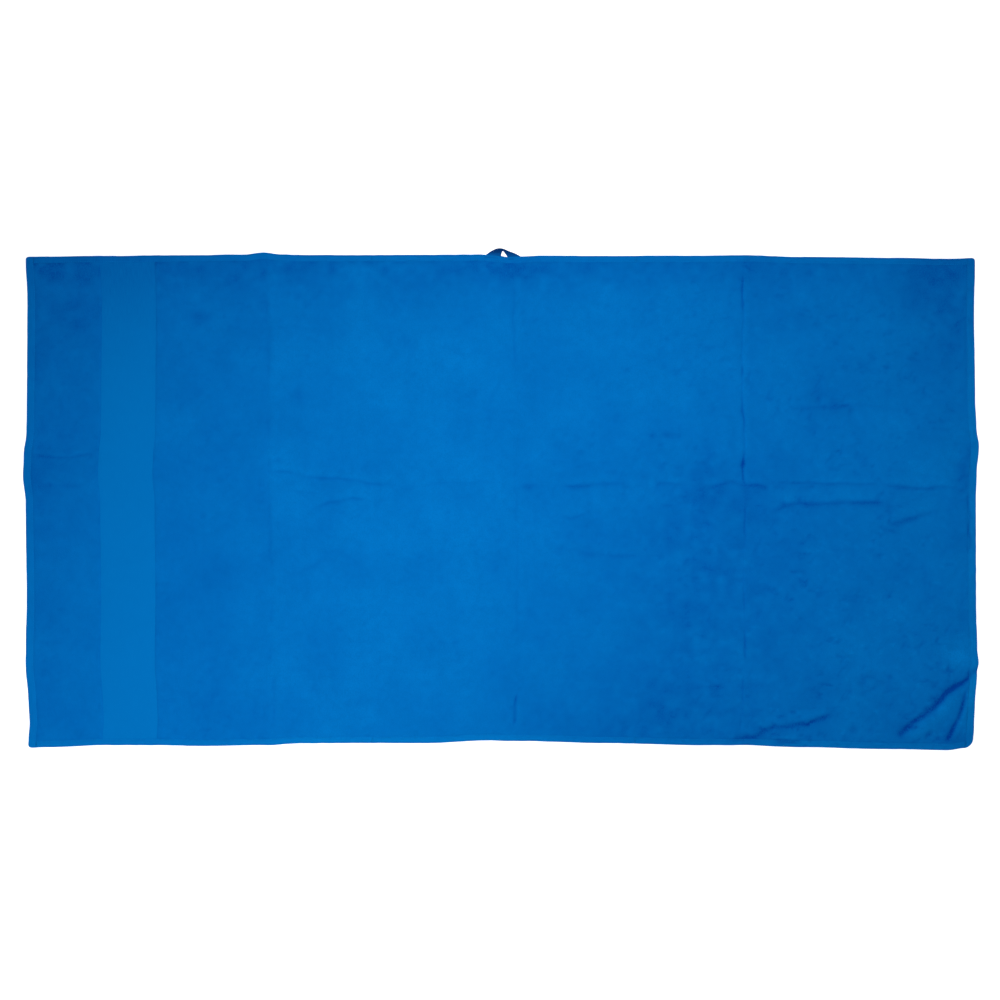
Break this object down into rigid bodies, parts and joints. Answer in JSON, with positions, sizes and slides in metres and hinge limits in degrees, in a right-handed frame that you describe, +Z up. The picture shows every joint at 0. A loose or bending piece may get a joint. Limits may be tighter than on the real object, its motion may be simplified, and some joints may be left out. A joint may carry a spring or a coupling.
{
  "type": "quick dry towel",
  "caption": "Rectangular quick-dry terry towel laid flat, with a flat-woven border, sewn hems and a tape loop to hang it by; it folds into quarters.",
  "frame": {"origin": "middle of the towel's underside, on the surface that it lies on", "axes": "+X along the length, away from the woven border; +Y across the width, to the edge that carries the loop; +Z up, out of the face"},
  "size_m": [1.4, 0.732, 0.0032],
  "materials": {
    "blue_terry": "matt looped pile",
    "flat_weave": "flat dobby weave",
    "hem_cloth": "flat weave, turned under and pressed",
    "hem_thread": "lock stitch thread",
    "bar_tack_thread": "dense bar tack stitches",
    "navy_tape": "ribbed woven tape"
  },
  "bodies": {
    "centre_left": {"terry_centre_left": "blue_terry", "loop_tape_end_left": "navy_tape", "loop_tape_end_right": "navy_tape", "loop_bar_tack_left": "bar_tack_thread", "loop_bar_tack_right": "bar_tack_thread", "loop_side_hem_centre_left": "hem_cloth", "loop_side_seam_centre_left": "hem_thread", "plain_side_hem_centre_left": "hem_cloth", "plain_side_seam_centre_left": "hem_thread"},
    "left_quarter": {"terry_left_quarter": "blue_terry", "dobby_border": "flat_weave", "terry_left_end": "blue_terry", "end_hem_left": "hem_cloth", "end_seam_left": "hem_thread", "loop_side_hem_left_quarter": "hem_cloth", "loop_side_seam_left_quarter": "hem_thread", "plain_side_hem_left_quarter": "hem_cloth", "plain_side_seam_left_quarter": "hem_thread"},
    "centre_right": {"terry_centre_right": "blue_terry", "loop_side_hem_centre_right": "hem_cloth", "loop_side_seam_centre_right": "hem_thread", "plain_side_hem_centre_right": "hem_cloth", "plain_side_seam_centre_right": "hem_thread"},
    "right_quarter": {"terry_right_quarter": "blue_terry", "end_hem_right": "hem_cloth", "end_seam_right": "hem_thread", "loop_side_hem_right_quarter": "hem_cloth", "loop_side_seam_right_quarter": "hem_thread", "plain_side_hem_right_quarter": "hem_cloth", "plain_side_seam_right_quarter": "hem_thread"},
    "hanging_loop": {"loop_tape": "navy_tape"}
  },
  "joints": [
    {"name": "left_fold", "type": "hinge", "parent": "centre_left", "child": "left_quarter", "pos_m": [-0.348, 0, 0.0048], "axis": [0, 1, 0], "range_deg": [0, 180]},
    {"name": "centre_fold", "type": "hinge", "parent": "centre_left", "child": "centre_right", "pos_m": [0.022, 0, 0.0104], "axis": [0, -1, 0], "range_deg": [0, 180]},
    {"name": "right_fold", "type": "hinge", "parent": "centre_right", "child": "right_quarter", "pos_m": [0.3615, 0, 0.0048], "axis": [0, -1, 0], "range_deg": [0, 180]},
    {"name": "loop_swing", "type": "hinge", "parent": "centre_left", "child": "hanging_loop", "pos_m": [-0.0015, 0.361, 0.0016], "axis": [1, 0, 0], "range_deg": [0, 90]}
  ]
}
